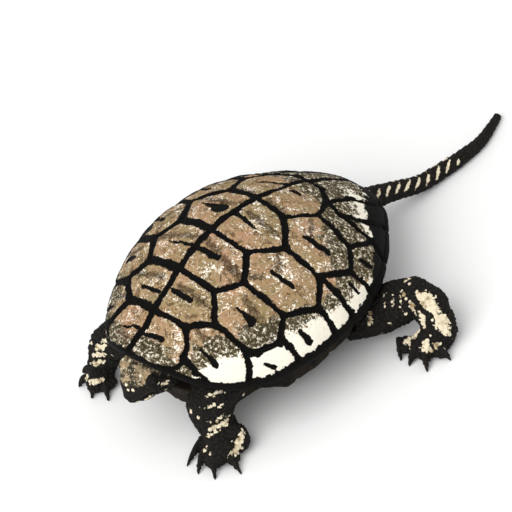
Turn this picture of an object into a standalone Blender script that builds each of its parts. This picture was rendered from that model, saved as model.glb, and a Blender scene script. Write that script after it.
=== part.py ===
"""A fossil turtle in stone: a domed shell with its lower shell, head, tail and four clawed legs.

For Blender 4.5, in metres, +Z up. The head points along -Y and the animal's left side is +X. The
origin is on the ground, under the middle of the whole length and width.
"""

import math

import bmesh
import bpy
import numpy as np
from mathutils import Vector

# Driving dimensions, in metres
HALF_LENGTH = 0.100  # of the upper shell
HALF_WIDTH = 0.0825
DOME_HEIGHT = 0.060  # of the keel above the rim
RIM_HEIGHT = 0.049  # of the rim above the ground, halfway along the shell
SHELL_Y = -0.0495  # where the middle of the shell lies from the origin
FRONT_LIFT = 0.032  # how far the rim rises over the neck
RIM_FALL = 0.004  # how far the rim falls from the middle to the rear
RIM_EDGE = 0.007  # height of the rim's outer edge
SEAM_WIDTH = 0.0044  # of the grooves between the scutes
SEAM_DEPTH = 0.0011
SCUTE_RELIEF = 0.0007  # of a scute's border above the dome
SCUTE_SWELL = 0.0007  # of its middle above its border
EDGE_STEP = 0.0115  # length of the facets along a seam
CLEARANCE = 0.0005  # cut between pieces that touch
PLASTRON_BOTTOM = 0.018  # of the lower shell above the ground
PLASTRON_BEVEL = 0.004
PLASTRON_OVERLAP = 0.002  # of the lower shell's blank into the upper shell, which then cuts it to fit
FLOOR = RIM_HEIGHT - RIM_EDGE  # height of the flat underside inside the rim

# The rim's section from its top edge round to the floor: how far in, and how far down its edge
UNDERSIDE = ((-0.0016, 0.2), (-0.0014, 0.75), (0.0012, 1.0), (0.0100, 0.95), (0.0240, None))

# Exponents of the dome's outline, of its profile along the keel and of its section across
OUTLINE_POWER = 2.11
PROFILE_POWER, PROFILE_ROOT = 2.06, 1.26
ACROSS_POWER, ACROSS_ROOT = 1.5, 2.26
FRONT_BIAS = 0.135  # how much higher the dome stands before its middle than behind it
REAR_TAPER = 0.8  # how far the outline draws in on its way to the tail

# Where the seams of the middle row cross the keel, as stations from -1 (front) to 1 (rear)
KEEL = (-0.709, -0.425, -0.095, 0.299, 0.685)

# Corners of the scutes on one side: station along the shell, and share of the half width there
CORNERS = {
    "nose": (-1.0, 0.7), "k1": (KEEL[0], 0.0), "k2": (KEEL[1], 0.0), "k3": (KEEL[2], 0.0),
    "k4": (KEEL[3], 0.0), "k5": (KEEL[4], 0.0), "rump": (1.0, 0.7),
    "v1": (-0.70, 0.43), "v2": (-0.43, 0.40), "v3": (-0.10, 0.37), "v4": (0.28, 0.325),
    "v5": (0.683, 0.218), "w1": (-0.85, 0.76), "w2": (-0.58, 0.60), "w3": (-0.27, 0.53),
    "w4": (0.09, 0.54), "w5": (0.463, 0.477), "w6": (0.605, 0.421),
    "c1": (-0.86, 0.978), "c2": (-0.575, 0.905), "c2a": (-0.53, 0.935), "c2b": (-0.385, 0.95),
    "n3": (-0.36, 0.94), "c3": (-0.262, 0.862), "n4": (-0.05, 0.94), "c4": (0.097, 0.822),
    "n5": (0.11, 0.94), "n6": (0.295, 0.928), "c5": (0.42, 0.828), "n7": (0.595, 0.935),
    "c6": (0.58, 0.603), "n8": (0.70, 0.862), "c7": (0.772, 0.543),
    "r0": (-0.95, 1.0), "r1": (-0.84, 1.0), "r2": (-0.65, 1.0), "r3": (-0.343, 1.0),
    "r4": (-0.042, 1.0), "r5": (0.125, 1.0), "r6": (0.335, 1.0), "r7": (0.585, 1.0),
    "r8": (0.80, 1.0), "r9": (0.948, 1.0),
}

# Scutes of one side, each from corner to corner, anticlockwise seen from above
SCUTES = (
    ("nose", "r0", "w1", "v1", "k1"),
    ("k1", "v1", "w2", "v2", "k2"),
    ("k2", "v2", "w3", "v3", "k3"),
    ("k3", "v3", "w4", "v4", "k4"),
    ("k4", "v4", "w5", "w6", "v5", "k5"),
    ("v1", "w1", "c1", "r1", "r2", "c2", "w2"),
    ("v2", "w2", "c2", "c2a", "c2b", "n3", "c3", "w3"),
    ("v3", "w3", "c3", "n4", "c4", "w4"),
    ("v4", "w4", "c4", "n6", "c5", "w5"),
    ("w5", "c5", "n7", "c6", "w6"),
    ("r0", "r1", "c1", "w1"),
    ("c2", "r2", "r3", "n3", "c2b", "c2a"),
    ("c3", "n3", "r3", "r4", "n4"),
    ("c4", "n4", "r4", "r5", "n5"),
    ("c4", "n5", "r5", "r6", "n6"),
    ("c5", "n6", "r6", "r7", "n7"),
    ("c6", "n7", "r7", "r8", "n8"),
    ("w6", "c6", "n8", "r8", "r9", "c7"),
    ("k5", "v5", "w6", "c7", "r9", "rump"),
)

# Plan of the lower shell on one side: front lobe, bridge and rear lobe (x, y from the shell's middle)
PLASTRON_PLAN = (
    (0.000, -0.084), (0.022, -0.081), (0.038, -0.068), (0.043, -0.050),
    (0.060, -0.041), (0.066, -0.018), (0.067, 0.012), (0.062, 0.036),
    (0.043, 0.046), (0.038, 0.066), (0.022, 0.080), (0.000, 0.084),
)
BRIDGE_FLARE = 0.006  # how far the lower shell spreads towards the rim

# Spines of the soft parts, from the shell outwards: (x, y, z) from the shell's middle on the ground,
# then half width and half thickness
HEAD_SPINE = (
    ((0.000, -0.060, 0.046), 0.0130, 0.0140), ((0.000, -0.078, 0.050), 0.0145, 0.0150),
    ((0.000, -0.090, 0.056), 0.0155, 0.0150), ((0.000, -0.100, 0.060), 0.0155, 0.0138),
    ((0.000, -0.1065, 0.0585), 0.0125, 0.0105), ((0.000, -0.1115, 0.0545), 0.0075, 0.0060),
)
FRONT_LEFT_SPINE = (
    ((0.034, -0.060, 0.038), 0.0150, 0.0150), ((0.033, -0.074, 0.037), 0.0160, 0.0155),
    ((0.030, -0.081, 0.027), 0.0170, 0.0145), ((0.032, -0.083, 0.018), 0.0145, 0.0125),
    ((0.039, -0.086, 0.0105), 0.0140, 0.0115), ((0.043, -0.094, 0.0068), 0.0182, 0.0100),
    ((0.043, -0.101, 0.0048), 0.0145, 0.0070),
)
FRONT_RIGHT_SPINE = (
    ((-0.038, -0.056, 0.034), 0.0150, 0.0150), ((-0.062, -0.066, 0.033), 0.0140, 0.0140),
    ((-0.077, -0.072, 0.025), 0.0120, 0.0120), ((-0.081, -0.077, 0.014), 0.0100, 0.0100),
    ((-0.080, -0.086, 0.0065), 0.0130, 0.0085), ((-0.079, -0.091, 0.0045), 0.0110, 0.0065),
)
HIND_LEFT_SPINE = (
    ((0.050, 0.026, 0.0190), 0.0165, 0.0160), ((0.069, 0.040, 0.0205), 0.0160, 0.0155),
    ((0.090, 0.056, 0.0270), 0.0135, 0.0135), ((0.102, 0.055, 0.0205), 0.0115, 0.0115),
    ((0.111, 0.050, 0.0125), 0.0122, 0.0105), ((0.108, 0.041, 0.0070), 0.0130, 0.0085),
    ((0.105, 0.036, 0.0045), 0.0130, 0.0065),
)
TAIL_SPINE = (
    ((0.000, 0.086, 0.036), 0.0090, 0.0085), ((0.000, 0.103, 0.029), 0.0080, 0.0075),
    ((0.000, 0.116, 0.0225), 0.0066, 0.0064), ((0.0005, 0.127, 0.0160), 0.0060, 0.0058),
    ((0.002, 0.142, 0.0082), 0.0056, 0.0055), ((0.004, 0.157, 0.0054), 0.0053, 0.0053),
    ((0.0075, 0.172, 0.0048), 0.0048, 0.0048), ((0.009, 0.190, 0.0039), 0.0039, 0.0039),
    ((0.005, 0.206, 0.0030), 0.0030, 0.0030), ((0.002, 0.214, 0.0024), 0.0024, 0.0024),
)
TAIL_RINGS = 26
RING_WAIST, RING_CREST = 0.93, 1.08  # a ring's width at its front and at its widest
RING_CREST_AT = 0.72  # how far along the ring it is widest
EYE_PLACE = (0.0118, -0.1010, 0.0650)
EYE_RADIUS = 0.0045

# Claws: root and tip, (x, y, z) as above
FRONT_LEFT_CLAWS = (
    ((0.027, -0.095, 0.006), (0.027, -0.1125, 0.0008)),
    ((0.036, -0.103, 0.006), (0.039, -0.1140, 0.0008)),
    ((0.046, -0.103, 0.006), (0.053, -0.1120, 0.0008)),
    ((0.055, -0.096, 0.006), (0.066, -0.1000, 0.0008)),
)
FRONT_RIGHT_CLAWS = (
    ((-0.070, -0.090, 0.005), (-0.064, -0.0960, 0.0008)),
    ((-0.078, -0.094, 0.005), (-0.076, -0.0995, 0.0008)),
    ((-0.087, -0.091, 0.005), (-0.092, -0.0965, 0.0008)),
    ((-0.090, -0.084, 0.005), (-0.099, -0.0860, 0.0008)),
)
HIND_LEFT_CLAWS = (
    ((0.0885, 0.0320, 0.006), (0.0945, 0.0240, 0.0008)),
    ((0.1020, 0.0320, 0.005), (0.1030, 0.0230, 0.0008)),
    ((0.1120, 0.0320, 0.005), (0.1180, 0.0250, 0.0008)),
    ((0.1185, 0.0400, 0.006), (0.1255, 0.0400, 0.0008)),
)
CLAW_RADIUS = 0.0030
CLAW_MIDDLE, CLAW_POINT = 0.72, 0.22  # of that radius, halfway and at the tip
CLAW_ARCH = 0.0012  # how far the middle stands over a straight line
TOE_START, TOE_KNUCKLE = 0.35, 0.80  # where a toe begins and where its knuckle is, from foot to claw
TOE_RADIUS = 0.0050
TOE_SHRINK, TOE_REACH = 0.66, 0.7  # the last ring before the tip of a limb, of its radius
LIMB_SIDES, TAIL_SIDES, CLAW_SIDES = 12, 10, 6
LIMB_RINGS, TAIL_SPANS = 2, 8  # rings to each span of a spine
GROUND_SIZE = (0.6, 0.8, 0.05)

SHELL_BASE = Vector((0.0, SHELL_Y, 0.0))
RIM_PHI = math.pi / 2
TIP_PHI = 0.3 * math.pi  # where the seams of the front and rear tips end
NORMAL_STEP = 0.02  # for taking the dome's slope, in radians
SHARPEST_CORNER = 0.6  # of a scute, before its border would run too far in


def clear_scene():
    for obj in list(bpy.data.objects):
        bpy.data.objects.remove(obj)


def stone(name, colour, roughness):
    material = bpy.data.materials.new(name)
    material.use_nodes = True
    shader = material.node_tree.nodes["Principled BSDF"]
    shader.inputs["Base Color"].default_value = (*colour, 1.0)
    shader.inputs["Roughness"].default_value = roughness
    shader.inputs["Metallic"].default_value = 0.0
    return material


def add_object(name, bm, material=None, turn_out=True):
    """Puts the mesh in the scene at the shell's place, its faces turned outwards."""
    if turn_out:
        bmesh.ops.recalc_face_normals(bm, faces=bm.faces)
    mesh = bpy.data.meshes.new(name)
    bm.to_mesh(mesh)
    bm.free()
    obj = bpy.data.objects.new(name, mesh)
    bpy.context.scene.collection.objects.link(obj)
    obj.location = SHELL_BASE
    if material:
        mesh.materials.append(material)
    return obj


def as_cutter(obj):
    obj.hide_render = True
    obj.display_type = "WIRE"
    return obj


def boolean(obj, other, operation):
    modifier = obj.modifiers.new(f"{operation.lower()} {other.name}", "BOOLEAN")
    modifier.object = other
    modifier.operation = operation
    modifier.solver = "EXACT"
    return modifier


# The dome: tau and phi are angles, so that facets stay even towards the ends and the rim


def half_width(station):
    taper = 1.0 - REAR_TAPER * max(0.0, station) ** 4 * (1.0 - station**2)
    return HALF_WIDTH * math.sqrt(max(0.0, 1.0 - abs(station) ** OUTLINE_POWER)) * taper


def rim_height(station):
    lift = FRONT_LIFT * max(0.0, -station) ** 6
    return RIM_HEIGHT + lift - RIM_FALL * station


def crown_height(station):
    swell = max(0.0, 1.0 - abs(station) ** PROFILE_POWER) ** (1.0 / PROFILE_ROOT)
    return DOME_HEIGHT * swell * (1.0 - FRONT_BIAS * station)


def dome_point(tau, phi, side):
    station = math.sin(tau)
    across = math.sin(phi) ** (2.0 / ACROSS_POWER)
    up = max(0.0, math.cos(phi)) ** (2.0 / ACROSS_ROOT)
    height = rim_height(station) + crown_height(station) * up
    return Vector((side * half_width(station) * across, HALF_LENGTH * station, height))


def dome_normal(tau, phi, side):
    """The dome's outward direction, taken a little inside its ends and its rim."""
    step = NORMAL_STEP
    at_tip = abs(tau) == RIM_PHI
    tau = min(max(tau, -RIM_PHI + 3 * step), RIM_PHI - 3 * step)
    inner = min(max(phi, step), RIM_PHI - 2 * step)
    along = dome_point(tau + step, inner, side) - dome_point(tau - step, inner, side)
    across = dome_point(tau, inner + step, side) - dome_point(tau, inner - step, side)
    normal = across.cross(along) * side
    if phi == 0.0 or at_tip:
        normal.x = 0.0
    if phi == RIM_PHI:
        normal.z = 0.0
    return normal.normalized()


def corner_angles(name):
    station, share = CORNERS[name]
    if abs(station) == 1.0:
        return math.copysign(RIM_PHI, station), TIP_PHI
    phi = RIM_PHI if share == 1.0 else math.asin(share ** (ACROSS_POWER / 2.0))
    return math.asin(station), phi


def edge_angles(first, last):
    """Points from one corner up to the next, in angles, the same whichever scute asks."""
    if first > last:
        return edge_angles(last, first)[::-1]
    start, end = corner_angles(first), corner_angles(last)
    tip = {"nose", "rump"} & {first, last}
    if tip:
        other = end[1] if first in tip else start[1]
        start, end = (start[0], other), (end[0], other)
    length = (dome_point(*start, 1) - dome_point(*end, 1)).length
    count = max(1, round(length / EDGE_STEP)) + (2 if tip else 0)
    shares = [i / count for i in range(count + 1)]
    return [
        (start[0] + (end[0] - start[0]) * t, start[1] + (end[1] - start[1]) * t) for t in shares
    ]


def scute_loop(corners):
    loop = []
    for first, last in zip(corners, corners[1:] + corners[:1]):
        loop += edge_angles(first, last)[:-1]
    return loop


def add_scute(bm, shared, angles, side):
    """One scute: a groove along its border, a shoulder, and a swelling middle."""
    points = [dome_point(tau, phi, side) for tau, phi in angles]
    normals = [dome_normal(tau, phi, side) for tau, phi in angles]
    count = len(angles)
    middle = (sum(a[0] for a in angles) / count, sum(a[1] for a in angles) / count)
    border, shoulder, ring = [], [], []
    for i, (point, normal) in enumerate(zip(points, normals)):
        key = tuple(round(c * 1e6) for c in point)
        if key not in shared:
            shared[key] = bm.verts.new(point - normal * SEAM_DEPTH)
        border.append(shared[key])
        before = normal.cross(point - points[i - 1]).normalized()
        after = normal.cross(points[(i + 1) % count] - point).normalized()
        inward = (before + after).normalized()
        reach = 0.5 * SEAM_WIDTH / max(SHARPEST_CORNER, inward.dot(before))
        shoulder.append(bm.verts.new(point + inward * reach + normal * SCUTE_RELIEF))
        halfway = ((angles[i][0] + middle[0]) / 2, (angles[i][1] + middle[1]) / 2)
        swell = SCUTE_RELIEF + 0.75 * SCUTE_SWELL
        ring.append(bm.verts.new(dome_point(*halfway, side) + dome_normal(*halfway, side) * swell))
    top = dome_point(*middle, side) + dome_normal(*middle, side) * (SCUTE_RELIEF + SCUTE_SWELL)
    centre = bm.verts.new(top)
    for i in range(count):
        j = (i + 1) % count
        bm.faces.new((border[i], border[j], shoulder[j], shoulder[i]))
        bm.faces.new((shoulder[i], shoulder[j], ring[j], ring[i]))
        bm.faces.new((ring[i], ring[j], centre))


def rim_angles():
    """The rim, right round from the front and anticlockwise: angle along the shell, and side."""
    names = ["nose"] + [f"r{i}" for i in range(10)] + ["rump"]
    taus = [corner_angles("nose")[0]]
    for first, last in zip(names, names[1:]):
        taus += [tau for tau, _ in edge_angles(first, last)[1:]]
    return [(tau, 1) for tau in taus] + [(tau, -1) for tau in taus[-2:0:-1]]


def add_ring(bm, loop, inset, heights):
    """A copy of a loop, drawn towards the middle and set at new heights, and the faces between."""
    made = []
    for vert, height in zip(loop, heights):
        flat = Vector((vert.co.x, vert.co.y, 0.0))
        flat -= flat.normalized() * inset
        made.append(bm.verts.new((flat.x, flat.y, height)))
    for i, vert in enumerate(made):
        j = (i + 1) % len(made)
        bm.faces.new((loop[i], vert, made[j]))
        bm.faces.new((loop[i], made[j], loop[j]))
    return made


def add_underside(bm, loop, grow=0.0):
    """The rim's edge, its underside and the flat floor that meets the lower shell."""
    rims = [rim_height(vert.co.y / HALF_LENGTH) for vert in loop]
    reached = 0.0
    for inset, share in UNDERSIDE:
        if share is None:
            heights = [FLOOR - grow] * len(loop)
        else:
            heights = [rim - share * RIM_EDGE - grow for rim in rims]
        loop = add_ring(bm, loop, inset - reached, heights)
        reached = inset
    bm.faces.new(loop[::-1])


def carapace_mesh():
    bm = bmesh.new()
    shared = {}
    for corners in SCUTES:
        angles = scute_loop(corners)
        add_scute(bm, shared, angles, 1)
        add_scute(bm, shared, angles[::-1], -1)
    rim = [dome_point(tau, RIM_PHI, side) for tau, side in rim_angles()]
    add_underside(bm, [shared[tuple(round(c * 1e6) for c in point)] for point in rim])
    return bm


def blank_mesh(grow):
    """The upper shell as a plain cone over its own underside, for cutting what meets it from below."""
    bm = bmesh.new()
    loop = []
    for tau, side in rim_angles():
        place = dome_point(tau, RIM_PHI, side) - dome_normal(tau, RIM_PHI, side) * (SEAM_DEPTH - grow)
        loop.append(bm.verts.new(place))
    add_underside(bm, loop, grow)
    peak = bm.verts.new((0.0, 0.0, RIM_HEIGHT + DOME_HEIGHT))
    for i, vert in enumerate(loop):
        bm.faces.new((vert, loop[(i + 1) % len(loop)], peak))
    return bm


def plastron_mesh(grow):
    """The lower shell: a plate with bevelled lower edges, spreading up to the bridges."""
    bm = bmesh.new()
    plan = [Vector((x, y, 0.0)) for x, y in PLASTRON_PLAN]
    plan += [Vector((-p.x, p.y, 0.0)) for p in plan[-2:0:-1]]
    bottom, top = PLASTRON_BOTTOM - grow, FLOOR + PLASTRON_OVERLAP
    levels = (
        (bottom, -PLASTRON_BEVEL), (bottom + PLASTRON_BEVEL, 0.0),
        (0.5 * (bottom + top), 0.4 * BRIDGE_FLARE), (top, BRIDGE_FLARE),
    )
    loops = []
    for height, spread in levels:
        loop = []
        for point in plan:
            out = point.normalized() * (spread + grow)
            loop.append(bm.verts.new((point.x + out.x, point.y + out.y, height)))
        loops.append(loop)
    for lower, upper in zip(loops, loops[1:]):
        for i in range(len(lower)):
            j = (i + 1) % len(lower)
            bm.faces.new((lower[i], lower[j], upper[j], upper[i]))
    bm.faces.new(loops[0][::-1])
    bm.faces.new(loops[-1])
    return bm


def smooth_spine(spine, per_span):
    """Catmull-Rom points through the spine's stations, with their half width and thickness."""
    rows = np.array([[*centre, wide, thick] for centre, wide, thick in spine])
    padded = np.vstack([2 * rows[0] - rows[1], rows, 2 * rows[-1] - rows[-2]])
    made = []
    for i in range(len(rows) - 1):
        a, b, c, d = padded[i:i + 4]
        for k in range(per_span):
            t = k / per_span
            made.append(0.5 * (2 * b + (c - a) * t + (2 * a - 5 * b + 4 * c - d) * t**2
                               + (3 * b - a - 3 * c + d) * t**3))
    made.append(rows[-1])
    return made


def lofted(rows, sides, round_end=True):
    """A closed tube through rows of (x, y, z, half width, half thickness)."""
    bm = bmesh.new()
    centres = [Vector(row[:3]) for row in rows]
    tangents = []
    for i in range(len(rows)):
        ahead = centres[min(i + 1, len(rows) - 1)]
        behind = centres[max(i - 1, 0)]
        tangents.append((ahead - behind).normalized())
    side = tangents[0].cross(Vector((0.0, 0.0, 1.0))).normalized()
    loops = []
    for centre, tangent, row in zip(centres, tangents, rows):
        side = (side - tangent * side.dot(tangent)).normalized()
        rise = side.cross(tangent)
        loop = []
        for k in range(sides):
            turn = 2 * math.pi * k / sides
            offset = side * (row[3] * math.cos(turn)) + rise * (row[4] * math.sin(turn))
            loop.append(bm.verts.new(centre + offset))
        loops.append(loop)
    if round_end:
        toe = centres[-1] + tangents[-1] * rows[-1][4] * TOE_REACH
        shrunk = [toe + (vert.co - centres[-1]) * TOE_SHRINK for vert in loops[-1]]
        loops.append([bm.verts.new(place) for place in shrunk])
    for first, second in zip(loops, loops[1:]):
        for k in range(sides):
            j = (k + 1) % sides
            bm.faces.new((first[k], first[j], second[j], second[k]))
    tip = centres[-1] + (tangents[-1] * rows[-1][4] if round_end else Vector())
    for loop, end in ((loops[0], centres[0]), (loops[-1], tip)):
        pole = bm.verts.new(end)
        for k in range(sides):
            bm.faces.new((loop[k], loop[(k + 1) % sides], pole))
    return bm


def toe_mesh(foot, root, tip):
    """A toe that leaves the foot, and its curved claw, which comes down to the ground at its point."""
    foot, root, tip = Vector(foot), Vector(root), Vector(tip)
    middle = root.lerp(tip, 0.5) + Vector((0.0, 0.0, CLAW_ARCH))
    places = (
        (foot.lerp(root, TOE_START), TOE_RADIUS), (foot.lerp(root, TOE_KNUCKLE), TOE_RADIUS),
        (root, CLAW_RADIUS), (middle, CLAW_RADIUS * CLAW_MIDDLE), (tip, CLAW_RADIUS * CLAW_POINT),
    )
    rows = [(*place, radius, radius) for place, radius in places]
    return lofted(rows, CLAW_SIDES, round_end=False)


def mirrored(rows):
    """The same shape on the animal's other side."""
    return tuple(((-centre[0], *centre[1:]), *rest) for centre, *rest in rows)


def ground_cutter():
    bm = bmesh.new()
    bmesh.ops.create_cube(bm, size=1.0)
    bmesh.ops.scale(bm, vec=GROUND_SIZE, verts=bm.verts)
    bmesh.ops.translate(bm, vec=(0.0, 0.0, -GROUND_SIZE[2] / 2), verts=bm.verts)
    return as_cutter(add_object("ground_cutter", bm))


def trim(obj, cutters):
    for cutter in cutters:
        boolean(obj, cutter, "DIFFERENCE")


def build_limb(name, spine, claws, material, cutters):
    limb = add_object(name, lofted(smooth_spine(spine, LIMB_RINGS), LIMB_SIDES), material)
    foot = spine[-2][0]
    for number, (root, tip) in enumerate(claws, 1):
        toe = as_cutter(add_object(f"{name}_toe_{number}", toe_mesh(foot, root, tip)))
        boolean(limb, toe, "UNION")
    trim(limb, cutters)
    return limb


def build_head(material, cutters):
    head = add_object("head", lofted(smooth_spine(HEAD_SPINE, LIMB_RINGS), LIMB_SIDES + 2), material)
    for side in (-1, 1):
        bm = bmesh.new()
        bmesh.ops.create_icosphere(bm, subdivisions=2, radius=EYE_RADIUS)
        place = (side * EYE_PLACE[0], *EYE_PLACE[1:])
        bmesh.ops.translate(bm, vec=place, verts=bm.verts)
        boolean(head, as_cutter(add_object(f"eye_{side}", bm)), "UNION")
    trim(head, cutters)
    return head


def build_tail(material, cutters):
    """The tail's scales lie in rings, each swelling towards the tip."""
    rows = smooth_spine(TAIL_SPINE, TAIL_SPANS)
    ringed = []
    for i in range(TAIL_RINGS):
        for share, swell in ((0.0, RING_WAIST), (RING_CREST_AT, RING_CREST)):
            at = (i + share) / TAIL_RINGS * (len(rows) - 1)
            low = int(at)
            row = rows[low] + (rows[min(low + 1, len(rows) - 1)] - rows[low]) * (at - low)
            ringed.append((*row[:3], row[3] * swell, row[4] * swell))
    ringed.append(tuple(rows[-1]))
    tail = add_object("tail", lofted(ringed, TAIL_SIDES), material)
    trim(tail, cutters)
    return tail


def main():
    clear_scene()
    shell_stone = stone("shell_stone", (0.44, 0.33, 0.20), 0.85)
    belly_stone = stone("belly_stone", (0.10, 0.08, 0.06), 0.85)
    limb_stone = stone("limb_stone", (0.07, 0.055, 0.045), 0.80)

    add_object("carapace", carapace_mesh(), shell_stone, turn_out=False)
    shell_cutter = as_cutter(add_object("shell_cutter", blank_mesh(CLEARANCE), turn_out=False))
    plastron = add_object("plastron", plastron_mesh(0.0), belly_stone)
    trim(plastron, (shell_cutter,))
    belly_cutter = as_cutter(add_object("belly_cutter", plastron_mesh(CLEARANCE)))
    cutters = (shell_cutter, belly_cutter, ground_cutter())

    build_head(limb_stone, cutters)
    build_tail(limb_stone, cutters)
    hind_right = mirrored(HIND_LEFT_SPINE)
    hind_right_claws = tuple(((-r[0], *r[1:]), (-t[0], *t[1:])) for r, t in HIND_LEFT_CLAWS)
    build_limb("front_left_leg", FRONT_LEFT_SPINE, FRONT_LEFT_CLAWS, limb_stone, cutters)
    build_limb("front_right_leg", FRONT_RIGHT_SPINE, FRONT_RIGHT_CLAWS, limb_stone, cutters)
    build_limb("hind_left_leg", HIND_LEFT_SPINE, HIND_LEFT_CLAWS, limb_stone, cutters)
    build_limb("hind_right_leg", hind_right, hind_right_claws, limb_stone, cutters)


main()
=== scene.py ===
"""Looks for the fossil turtle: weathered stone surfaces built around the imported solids.

Metres, +Z up. The head points along -Y and the animal's left side is +X.
"""

import math

import bmesh
import bpy
import numpy as np
from mathutils import Matrix, Vector, kdtree, noise


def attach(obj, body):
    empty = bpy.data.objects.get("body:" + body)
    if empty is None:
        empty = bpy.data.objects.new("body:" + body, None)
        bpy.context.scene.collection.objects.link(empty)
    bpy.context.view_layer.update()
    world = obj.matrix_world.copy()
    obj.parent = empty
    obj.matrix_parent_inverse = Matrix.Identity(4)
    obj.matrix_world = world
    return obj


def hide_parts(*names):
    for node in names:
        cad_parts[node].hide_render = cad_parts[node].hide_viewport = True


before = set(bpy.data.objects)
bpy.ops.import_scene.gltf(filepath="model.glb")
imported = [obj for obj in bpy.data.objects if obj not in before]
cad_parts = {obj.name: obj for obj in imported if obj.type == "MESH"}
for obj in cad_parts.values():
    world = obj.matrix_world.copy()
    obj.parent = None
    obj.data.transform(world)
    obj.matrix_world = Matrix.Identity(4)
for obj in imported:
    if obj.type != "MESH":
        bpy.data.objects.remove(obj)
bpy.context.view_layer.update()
MM = 0.001

# Without a seed, noise_vector would take its offsets from the clock
NOISE_SEED = 11
noise.seed_set(NOISE_SEED)

# The photograph's view of the turtle, nearly without perspective
VIEW_AZIMUTH = math.radians(61.80)
VIEW_ELEVATION = math.radians(41.73)
VIEW_ROLL = math.radians(25.0)
FRAME_PIXELS = 512
PIXELS_PER_METRE = 1564.8
CAMERA_DISTANCE = 11.0
SENSOR = 36.0

# The shell's driving dimensions, as in the solids
HALF_LENGTH = 0.100
HALF_WIDTH = 0.0825
DOME_HEIGHT = 0.060
RIM_HEIGHT = 0.049
SHELL_Y = -0.0495
FRONT_LIFT = 0.032
RIM_FALL = 0.004
RIM_EDGE = 0.007
FLOOR = RIM_HEIGHT - RIM_EDGE
OUTLINE_POWER = 2.11
PROFILE_POWER, PROFILE_ROOT = 2.06, 1.26
ACROSS_POWER, ACROSS_ROOT = 1.5, 2.26
FRONT_BIAS = 0.135
REAR_TAPER = 0.8
RIM_PHI = math.pi / 2

# The middle of the shell at its rim, and the pixel of the photograph where it lies
SHELL_MIDDLE = Vector((0.0, SHELL_Y, RIM_HEIGHT))
MIDDLE_PIXEL = (251.90, 284.60)

# Rows along the shell and columns across it
ROWS, COLUMNS = 288, 300
SEAM_STEP = 0.0004
SEAM_HALF = 0.0022
KEEL_HALF = 0.0026
RIGHT_WIDENING = 1.45  # how much wider the seams of the right flank have weathered
JUNCTION_SWELL = 0.0008  # how much a seam widens where it meets others
JUNCTION_REACH = 0.0030
GOUGE_WIDENING, STAIN_WIDENING = 1.3, 1.8

# Where the seams of the middle row cross the keel, as stations from -1 (front) to 1 (rear)
KEEL = (-0.709, -0.425, -0.095, 0.299, 0.685)

# Corners of the scutes on one side: station along the shell, and share of the half width there
CORNERS = {
    "nose": (-1.0, 0.7), "k1": (KEEL[0], 0.0), "k2": (KEEL[1], 0.0), "k3": (KEEL[2], 0.0),
    "k4": (KEEL[3], 0.0), "k5": (KEEL[4], 0.0), "rump": (1.0, 0.7),
    "v1": (-0.70, 0.43), "v2": (-0.43, 0.40), "v3": (-0.10, 0.37), "v4": (0.28, 0.325),
    "v5": (0.683, 0.218), "w1": (-0.85, 0.76), "w2": (-0.58, 0.60), "w3": (-0.27, 0.53),
    "w4": (0.09, 0.54), "w5": (0.463, 0.477), "w6": (0.605, 0.421),
    "c1": (-0.86, 0.978), "c2": (-0.575, 0.905), "c2a": (-0.53, 0.935), "c2b": (-0.385, 0.95),
    "n3": (-0.36, 0.94), "c3": (-0.262, 0.862), "n4": (-0.05, 0.94), "c4": (0.097, 0.822),
    "n5": (0.11, 0.94), "n6": (0.295, 0.928), "c5": (0.42, 0.828), "n7": (0.595, 0.935),
    "c6": (0.58, 0.603), "n8": (0.70, 0.862), "c7": (0.772, 0.543),
    "r0": (-0.95, 1.0), "r1": (-0.84, 1.0), "r2": (-0.65, 1.0), "r3": (-0.343, 1.0),
    "r4": (-0.042, 1.0), "r5": (0.125, 1.0), "r6": (0.335, 1.0), "r7": (0.585, 1.0),
    "r8": (0.80, 1.0), "r9": (0.948, 1.0),
}
SCUTES = (
    ("nose", "r0", "w1", "v1", "k1"),
    ("k1", "v1", "w2", "v2", "k2"),
    ("k2", "v2", "w3", "v3", "k3"),
    ("k3", "v3", "w4", "v4", "k4"),
    ("k4", "v4", "w5", "w6", "v5", "k5"),
    ("v1", "w1", "c1", "r1", "r2", "c2", "w2"),
    ("v2", "w2", "c2", "c2a", "c2b", "n3", "c3", "w3"),
    ("v3", "w3", "c3", "n4", "c4", "w4"),
    ("v4", "w4", "c4", "n6", "c5", "w5"),
    ("w5", "c5", "n7", "c6", "w6"),
    ("r0", "r1", "c1", "w1"),
    ("c2", "r2", "r3", "n3", "c2b", "c2a"),
    ("c3", "n3", "r3", "r4", "n4"),
    ("c4", "n4", "r4", "r5", "n5"),
    ("c4", "n5", "r5", "r6", "n6"),
    ("c5", "n6", "r6", "r7", "n7"),
    ("c6", "n7", "r7", "r8", "n8"),
    ("w6", "c6", "n8", "r8", "r9", "c7"),
    ("k5", "v5", "w6", "c7", "r9", "rump"),
)

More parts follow.
